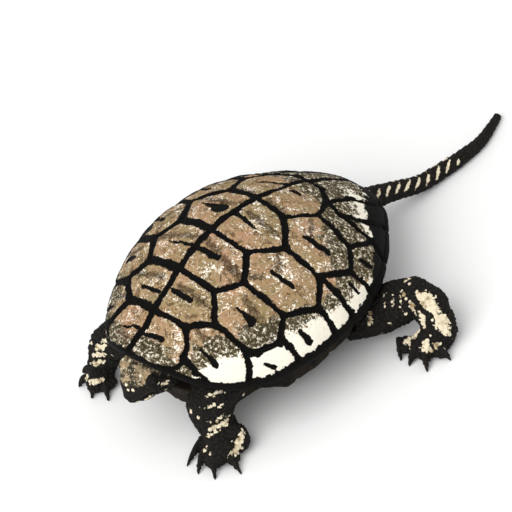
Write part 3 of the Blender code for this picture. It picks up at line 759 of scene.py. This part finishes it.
def build_head(material):
    mesh = clay("head", HEAD_LUMPS, voxel=0.0005, smoothing=8)
    places, normals = mesh_arrays(mesh)
    x, y, z = places[:, 0], places[:, 1] - SHELL_Y, places[:, 2]
    spread = 0.0030 * (1.0 + 0.3 * fractal(places, 0.010, 31.0, 2))
    chosen, number, near, edge = scales(places, spread, 31)
    face = smoothstep(-0.100, -0.106, y)
    groove = smoothstep(0.0, 0.0010, edge)
    dome_up = 1.0 - np.clip(near / (0.62 * spread), 0.0, 1.0) ** 2
    height = (0.00030 * dome_up + 0.00035 * (groove - 1.0)) * (1.0 - 0.85 * face)
    height += 0.00022 * fractal(places, 0.005, 33.0, 3)
    mouth_line = MOUTH_HEIGHT - 0.0020 * smoothstep(-0.106, -0.114, y) + 0.0008 * np.sin((y + 0.10) * 300.0)
    mouth = np.exp(-(((z - mouth_line) / 0.00075) ** 2)) * smoothstep(-0.0925, -0.0965, y)
    height -= 0.0015 * mouth

    def distance_to(place):
        """Distance to a place on either side of the head."""
        from_middle = np.stack([np.abs(x), y, z], -1)
        return np.linalg.norm(from_middle - np.array(place), axis=1)

    height -= 0.0011 * np.exp(-((distance_to(NOSTRIL) / 0.0010) ** 2))
    eyes = distance_to(EYE)
    ring = np.exp(-(((eyes - 0.0036) / 0.0007) ** 2))
    height += 0.0006 * np.exp(-((eyes / 0.0026) ** 2)) - 0.0008 * ring
    set_places(mesh, places + normals * height[:, None])
    tone = np.random.default_rng(34).random(len(chosen))
    # Painted light: the top of the head is made lighter than its sides, with painted highlights on its top and on
    # a few scales
    crown = smoothstep(0.0615, 0.0680, z) * smoothstep(0.0042, 0.0056, eyes)
    painted_highlight = near - np.where(tone < 0.3, 0.40, 0.0)[number] * spread
    painted_highlight = np.where((z > 0.0600) | (tone[number] < 0.12), painted_highlight, 9.0 * MM)
    painted_highlight = np.where((eyes < 0.0050) | (mouth > 0.3), 9.0 * MM, painted_highlight) / MM
    painted_highlight = np.minimum(painted_highlight, streak_field(places, HEAD_STREAKS, 35))
    set_field(mesh, "painted_highlight", painted_highlight)
    set_field(mesh, "scale", groove)
    set_field(mesh, "crown", crown)
    obj = add_object("head_stone", mesh, material)
    settle(obj, "head")
    return obj


def catmull_rom(rows, per_span):
    padded = np.vstack([2 * rows[0] - rows[1], rows, 2 * rows[-1] - rows[-2]])
    made = []
    for i in range(len(rows) - 1):
        a, b, c, d = padded[i:i + 4]
        for t in np.arange(per_span) / per_span:
            made.append(0.5 * (2 * b + (c - a) * t + (2 * a - 5 * b + 4 * c - d) * t**2
                               + (3 * b - a - 3 * c + d) * t**3))
    made.append(rows[-1])
    return np.array(made)


def tail_mark(along, angle, radius):
    """Distance outside the nearest painted highlight, a pale slanting mark on the tail; the marks stop short of
    its tip.
    """
    if not MARKS_START < along < MARKS_END:
        return 9.0 * MM
    turn = (angle - MARK_ANGLE) if math.cos(angle) > 0.0 else (math.pi - MARK_ANGLE - angle)
    turn = (turn + math.pi) % (2 * math.pi) - math.pi
    arc = turn * radius
    number, share = divmod(along / MARK_STEP, 1.0)
    uneven = noise.noise(Vector((number * 1.7, arc / 0.0012, 0.5)))
    offset = (share - 0.5) * MARK_STEP + MARK_SLANT * arc + 0.0004 * uneven
    shrink = (1.0 - 0.45 * along / MARKS_END) * (1.0 + 0.5 * noise.noise(Vector((number * 2.3, 4.1, 0.0))))
    reach = math.hypot(offset / MARK_HALF[0], arc / (MARK_HALF[1] * shrink))
    return (reach - 1.0) * MARK_HALF[0] * (1.0 + 0.3 * uneven)


def build_tail(material):
    """A tapering tail in rings of scales, each ring raised towards the tip."""
    rows = catmull_rom(np.array([(*centre, radius) for centre, radius in TAIL_SPINE]), 24)
    rows[:, 1] += SHELL_Y
    steps = np.linalg.norm(np.diff(rows[:, :3], axis=0), axis=1)
    travelled = np.concatenate([[0.0], np.cumsum(steps)])
    rings, sides, ring_length, around = 330, 72, 0.0049, 9
    at = np.linspace(0.0, travelled[-1], rings)
    line = np.stack([np.interp(at, travelled, rows[:, k]) for k in range(4)], -1)
    tangents = np.gradient(line[:, :3], axis=0)
    tangents /= np.linalg.norm(tangents, axis=1)[:, None]
    side = np.cross(tangents, (0.0, 0.0, 1.0))
    side /= np.linalg.norm(side, axis=1)[:, None]
    rise = np.cross(side, tangents)
    places, painted_highlight, grooves, faces = [], [], [], []
    for i in range(rings):
        turns = at[i] / ring_length
        ring, share = int(turns), turns % 1.0
        for k in range(sides):
            angle = 2 * math.pi * k / sides
            place_round = (k / sides * around + 0.5 * (ring % 2) + 0.25) % around
            across = place_round % 1.0
            edge = min(across, 1.0 - across) * 2 * math.pi * line[i, 3] / around
            back = share * ring_length
            ahead = (1.0 - share) * ring_length
            groove = min(1.0, edge / 0.0006) * min(1.0, back / 0.0010) * min(1.0, ahead / 0.0004)
            top = max(0.0, math.sin(angle)) ** 2
            swell = 0.10 * share ** 1.3 + 0.05 * top * share
            fade = 1.0 - 0.6 * at[i] / at[-1]
            height = line[i, 3] * swell + 0.0007 * fade * (groove - 1.0)
            radius = line[i, 3] * 0.97 + height
            place = line[i, :3] + radius * (math.cos(angle) * side[i] + math.sin(angle) * rise[i])
            place += 0.0002 * np.array(noise.noise_vector(Vector(place) / 0.003))
            place[2] = max(place[2], 0.0002)
            places.append(place)
            painted_highlight.append(tail_mark(at[i], angle, line[i, 3]) / MM)
            grooves.append(groove)
    for i in range(rings - 1):
        for k in range(sides):
            j = (k + 1) % sides
            faces.append((i * sides + k, (i + 1) * sides + k, (i + 1) * sides + j, i * sides + j))
    for row, spot, turned in ((0, line[0, :3], False), (rings - 1, line[-1, :3] + tangents[-1] * 0.002, True)):
        places.append(spot)
        painted_highlight.append(9.0)
        grooves.append(1.0)
        for k in range(sides):
            pair = (row * sides + k, row * sides + (k + 1) % sides)
            faces.append((*(pair[::-1] if turned else pair), len(places) - 1))
    mesh = bpy.data.meshes.new("tail_stone")
    mesh.from_pydata([tuple(p) for p in places], [], faces)
    bm = bmesh.new()
    bm.from_mesh(mesh)
    bmesh.ops.recalc_face_normals(bm, faces=bm.faces)
    bm.to_mesh(mesh)
    bm.free()
    set_field(mesh, "painted_highlight", painted_highlight)
    set_field(mesh, "scale", grooves)
    obj = add_object("tail_stone", mesh, material)
    settle(obj, "tail")
    return obj


def build_plastron(material):
    """The lower shell, with the seams of its own scutes."""
    mesh = clay("plastron", voxel=0.0010, smoothing=6)
    places, normals = mesh_arrays(mesh)
    x, y = places[:, 0], places[:, 1] - SHELL_Y
    wavered = warp(places, 0.012, 0.0022, 21.0)
    wx, wy = np.abs(wavered[:, 0]), wavered[:, 1] - SHELL_Y
    seams = [wx]
    for crossing, bend in ((-0.062, -0.16), (-0.038, 0.10), (-0.008, 0.06), (0.022, -0.05), (0.052, 0.30)):
        seams.append(np.abs(wy - crossing - bend * wx) * 0.98)
    seams.append(np.where((wy > -0.036) & (wy < 0.034), np.abs(wx - 0.050), 1.0))
    distance = np.min(seams, axis=0)
    low = smoothstep(0.030, 0.020, places[:, 2])
    height = -0.0011 * smoothstep(0.0022, 0.0, distance) * low
    height += 0.00045 * fractal(places, 0.012, 22.0, 4) + 0.00018 * fractal(places, 0.0035, 23.0, 3)
    height -= 0.00035 * smoothstep(0.33, 0.12, pits(places, 0.0050, 24.0))
    height *= smoothstep(0.044, 0.040, places[:, 2])
    set_places(mesh, places + normals * height[:, None])
    set_field(mesh, "seam", (distance / MM - 0.9) * low + 9.0 * (1.0 - low))
    obj = add_object("plastron_stone", mesh, material)
    settle(obj, "plastron")
    return obj


# Materials


def srgb(red, green, blue):
    """A colour as a screen shows it, from 0 to 255, as linear light."""
    shares = [c / 255.0 for c in (red, green, blue)]
    return tuple(s / 12.92 if s <= 0.04045 else ((s + 0.055) / 1.055) ** 2.4 for s in shares) + (1.0,)


class Stone:
    """A material whose colours are laid one over another."""

    def __init__(self, name, base, roughness, shine):
        self.material = bpy.data.materials.new(name)
        self.material.use_nodes = True
        self.tree = self.material.node_tree
        self.shader = self.tree.nodes["Principled BSDF"]
        self.shader.inputs["Roughness"].default_value = roughness
        self.shader.inputs["Specular IOR Level"].default_value = shine
        self.place = self.node("ShaderNodeTexCoord").outputs["Object"]
        self.colour = base

    def node(self, kind, inputs=None, **settings):
        made = self.tree.nodes.new(kind)
        for key, value in settings.items():
            setattr(made, key, value)
        for name, value in (inputs or {}).items():
            if isinstance(value, bpy.types.NodeSocket):
                self.tree.links.new(value, made.inputs[name])
            else:
                made.inputs[name].default_value = value
        return made

    def noise(self, size, detail=4.0, roughness=0.6, distortion=0.0):
        """Noise from 0 to 1 with lumps of the given size in metres."""
        inputs = {"Vector": self.place, "Scale": 1.0 / size, "Detail": detail,
                  "Roughness": roughness, "Distortion": distortion}
        return self.node("ShaderNodeTexNoise", inputs).outputs["Fac"]

    def cracks(self, size):
        """Distance from the edges of a mesh of irregular cells."""
        bent = self.node("ShaderNodeMix", {"Factor": 0.12 * size, "A": self.place,
                                           "B": self.noise_vector(size * 0.7)}, data_type="VECTOR")
        inputs = {"Vector": bent.outputs["Result"], "Scale": 1.0 / size}
        made = self.node("ShaderNodeTexVoronoi", inputs, feature="DISTANCE_TO_EDGE")
        return made.outputs["Distance"]

    def noise_vector(self, size):
        inputs = {"Vector": self.place, "Scale": 1.0 / size, "Detail": 3.0}
        return self.node("ShaderNodeTexNoise", inputs).outputs["Color"]

    def field(self, name):
        return self.node("ShaderNodeAttribute", attribute_name=name).outputs["Fac"]

    def maths(self, operation, first, second):
        made = self.node("ShaderNodeMath", operation=operation)
        for socket, value in zip(made.inputs, (first, second)):
            if isinstance(value, bpy.types.NodeSocket):
                self.tree.links.new(value, socket)
            else:
                socket.default_value = value
        return made.outputs[0]

    def ramp(self, value, low, high, least=0.0, most=1.0):
        inputs = {"Value": value, "From Min": low, "From Max": high, "To Min": least, "To Max": most}
        made = self.node("ShaderNodeMapRange", inputs, interpolation_type="SMOOTHSTEP")
        return made.outputs["Result"]

    def frayed(self, name, size, amount):
        """A field whose edge is frayed by noise."""
        spread = self.ramp(self.noise(size, 3.0, 0.7), 0.25, 0.75, -amount, amount)
        return self.maths("ADD", self.field(name), spread)

    def mix(self, first, second, factor, blend="MIX"):
        made = self.node("ShaderNodeMix", data_type="RGBA", blend_type=blend)
        for socket, value in ((made.inputs[0], factor), (made.inputs[6], first), (made.inputs[7], second)):
            if isinstance(value, bpy.types.NodeSocket):
                self.tree.links.new(value, socket)
            else:
                socket.default_value = value
        return made.outputs[2]

    def lay(self, colour, factor):
        self.colour = self.mix(self.colour, colour, factor)

    def finish(self, *bumps):
        """Bumps are (height, distance in metres) pairs."""
        self.tree.links.new(self.colour, self.shader.inputs["Base Color"])
        normal = None
        for height, distance in bumps:
            inputs = {"Height": height, "Distance": distance, "Strength": 1.0}
            if normal:
                inputs["Normal"] = normal
            normal = self.node("ShaderNodeBump", inputs).outputs["Normal"]
        self.tree.links.new(normal, self.shader.inputs["Normal"])
        return self.material


def shell_material():
    tan, pink, olive = srgb(160, 134, 98), srgb(172, 133, 104), srgb(130, 118, 82)
    dark_olive, brown, umber = srgb(46, 42, 28), srgb(80, 60, 38), srgb(52, 38, 24)
    cream, bleached, ink = srgb(250, 242, 226), srgb(238, 232, 216), srgb(8, 7, 6)
    stone = Stone("shell_stone_weathered_with_painted_shade", tan, 0.82, 0.10)
    broad, middling = stone.noise(0.030, 3.0), stone.noise(0.0085, 5.0, 0.65)
    fine, grain = stone.noise(0.0016, 4.0, 0.7), stone.noise(0.0007, 3.0, 0.6)

    # Tan stone, warmer and greener by turns, with darker grain and brown stains
    stone.colour = stone.mix(pink, olive, stone.ramp(broad, 0.38, 0.62))
    stone.lay(tan, stone.ramp(middling, 0.35, 0.60, 0.15, 0.85))
    stone.lay(brown, stone.ramp(fine, 0.44, 0.28, 0.0, 0.70))
    cells = stone.cracks(0.0048)
    veins = stone.maths("MULTIPLY", stone.ramp(cells, 0.09, 0.0), stone.ramp(middling, 0.50, 0.62))
    stone.lay(brown, stone.maths("MULTIPLY", veins, 0.55))
    stone.lay(brown, stone.ramp(stone.noise(0.0060, 4.0, 0.7, 1.6), 0.515, 0.63, 0.0, 0.82))

    # Cream crystals in clusters, and the brown stains that run over them
    clusters = stone.ramp(stone.noise(0.011, 3.0, 0.6, 0.6), 0.44, 0.66, 0.12, 0.0)
    crystals = stone.maths("SUBTRACT", stone.noise(0.0015, 3.0, 0.65, 1.0), clusters)
    stone.lay(cream, stone.ramp(crystals, 0.50, 0.545, 0.0, 0.96))
    stained = stone.ramp(stone.frayed("stain", 0.0018, 1.6), 0.7, -0.9)
    stone.lay(umber, stone.maths("MULTIPLY", stained, stone.ramp(fine, 0.62, 0.42, 0.45, 0.88)))

    # Dark mottling low on the sides and at both ends, full of pale grit
    speckle = stone.noise(0.0021, 4.0, 0.75)
    darkness = stone.maths("ADD", stone.field("mottle"), stone.ramp(middling, 0.3, 0.7, -0.38, 0.38))
    grit = stone.mix(dark_olive, stone.mix(olive, cream, stone.ramp(speckle, 0.52, 0.66)),
                     stone.ramp(speckle, 0.47, 0.60))
    stone.lay(grit, stone.ramp(darkness, 0.38, 0.72, 0.0, 0.92))

    # Bleached margins, with a tan fringe
    edge = stone.frayed("bleach", 0.0050, 3.5)
    margin = stone.maths("ADD", edge, stone.ramp(fine, 0.3, 0.7, -1.6, 1.6))
    chalk = stone.mix(bleached, srgb(206, 192, 160), stone.ramp(fine, 0.55, 0.75, 0.0, 0.8))
    stone.lay(chalk, stone.ramp(margin, 0.6, -0.8))

    # Seams and gouges in ink, and painted shade in black along the rim, the rear and the right flank
    for name, size, amount in (("seam", 0.0022, 0.45), ("gouge", 0.0016, 0.40), ("painted_shade", 0.0040, 1.8)):
        stone.lay(ink, stone.ramp(stone.frayed(name, size, amount), 0.14, -0.14))
    return stone.finish((fine, 0.00035), (grain, 0.00012), (middling, 0.0006))


def limb_material():
    ink, lit_brown, cream = srgb(15, 13, 11), srgb(44, 38, 31), srgb(226, 214, 186)
    stone = Stone("limb_stone_with_painted_light", ink, 0.80, 0.18)
    fine, broad = stone.noise(0.0010, 4.0, 0.65), stone.noise(0.006, 3.0)
    # Painted light and shade: scale tops a lighter brown, the creases between scales left black
    lit = stone.maths("MULTIPLY", stone.field("scale"), stone.ramp(fine, 0.45, 0.70))
    stone.colour = stone.mix(ink, lit_brown, lit)

    # The top of the head is painted lighter than its sides and mottled like the shell, as painted light
    speckle = stone.noise(0.0013, 4.0, 0.75)
    mottled = stone.mix(srgb(52, 47, 33), srgb(152, 131, 100), stone.ramp(broad, 0.44, 0.60))
    mottled = stone.mix(mottled, cream, stone.ramp(speckle, 0.55, 0.64))
    stone.lay(mottled, stone.ramp(stone.maths("ADD", stone.field("crown"), stone.ramp(fine, 0.3, 0.7, -0.2, 0.2)),
                                  0.35, 0.65))
    # Painted highlights in cream and buff
    painted_highlights = stone.frayed("painted_highlight", 0.0012, 0.55)
    buff = stone.mix(cream, srgb(150, 128, 92), stone.ramp(broad, 0.52, 0.68))
    stone.lay(buff, stone.ramp(painted_highlights, 0.10, -0.18))
    return stone.finish((fine, 0.00025), (broad, 0.0005))


def belly_material():
    # Near-black stone as painted shade of the shell's underside, with ochre patches and seams of its own
    dark, umber, ochre = srgb(18, 15, 12), srgb(34, 28, 21), srgb(84, 68, 46)
    stone = Stone("belly_stone_in_painted_shade", dark, 0.85, 0.12)
    broad, middling, fine = stone.noise(0.028, 3.0), stone.noise(0.007, 5.0), stone.noise(0.0014, 4.0, 0.7)
    stone.colour = stone.mix(dark, umber, stone.ramp(broad, 0.40, 0.62))
    stone.lay(ochre, stone.ramp(stone.maths("ADD", middling, stone.ramp(fine, 0.3, 0.7, -0.1, 0.1)),
                                0.62, 0.74, 0.0, 0.55))
    stone.lay(srgb(11, 9, 8), stone.ramp(stone.frayed("seam", 0.0022, 0.5), 0.15, -0.15))
    return stone.finish((fine, 0.0003), (middling, 0.0008))


# Floor, light and camera


def plain(name, colour, roughness):
    material = bpy.data.materials.new(name)
    material.use_nodes = True
    shader = material.node_tree.nodes["Principled BSDF"]
    shader.inputs["Base Color"].default_value = colour
    shader.inputs["Roughness"].default_value = roughness
    shader.inputs["Specular IOR Level"].default_value = 0.1
    return material


def build_floor():
    bm = bmesh.new()
    bmesh.ops.create_grid(bm, x_segments=1, y_segments=1, size=12.0)
    mesh = bpy.data.meshes.new("floor")
    bm.to_mesh(mesh)
    bm.free()
    add_object("floor", mesh, plain("floor_paper", (0.86, 0.86, 0.855, 1.0), 0.9))


def build_light():
    world = bpy.data.worlds.new("studio")
    world.use_nodes = True
    world.node_tree.nodes["Background"].inputs["Color"].default_value = (1.0, 1.0, 1.0, 1.0)
    world.node_tree.nodes["Background"].inputs["Strength"].default_value = 0.84
    bpy.context.scene.world = world
    light = bpy.data.lights.new("key", "AREA")
    light.shape = "DISK"
    light.size = 1.7
    light.energy = 20.0
    key = bpy.data.objects.new("key", light)
    bpy.context.scene.collection.objects.link(key)
    key.location = (0.35, -0.95, 1.35)
    key.rotation_euler = (-key.location).to_track_quat("-Z", "Y").to_euler()


def build_camera():
    azimuth, elevation, roll = VIEW_AZIMUTH, VIEW_ELEVATION, VIEW_ROLL
    right = Vector((math.cos(azimuth), math.sin(azimuth), 0.0))
    back = Vector((math.sin(azimuth) * math.cos(elevation),
                   -math.cos(azimuth) * math.cos(elevation), math.sin(elevation)))
    up = back.cross(right)
    across = right * math.cos(roll) - up * math.sin(roll)
    upward = right * math.sin(roll) + up * math.cos(roll)
    middle = FRAME_PIXELS / 2
    offset = across * (middle - MIDDLE_PIXEL[0]) + upward * (MIDDLE_PIXEL[1] - middle)
    place = SHELL_MIDDLE + offset / PIXELS_PER_METRE + back * CAMERA_DISTANCE
    data = bpy.data.cameras.new("camera")
    data.sensor_width = SENSOR
    data.lens = SENSOR * CAMERA_DISTANCE * PIXELS_PER_METRE / FRAME_PIXELS
    data.clip_start, data.clip_end = 1.0, 40.0
    camera = bpy.data.objects.new("camera", data)
    bpy.context.scene.collection.objects.link(camera)
    camera.matrix_world = Matrix((
        (across.x, upward.x, back.x, place.x), (across.y, upward.y, back.y, place.y),
        (across.z, upward.z, back.z, place.z), (0.0, 0.0, 0.0, 1.0),
    ))
    bpy.context.scene.camera = camera


def main():
    bpy.context.scene.view_settings.view_transform = "Standard"
    build_camera()
    build_light()
    build_floor()
    build_carapace(shell_material())
    build_plastron(belly_material())
    limb = limb_material()
    build_head(limb)
    build_tail(limb)
    for seed, node in enumerate(LUMPS, 51):
        build_limb(node, LIMB_SCALE, seed, limb)


main()
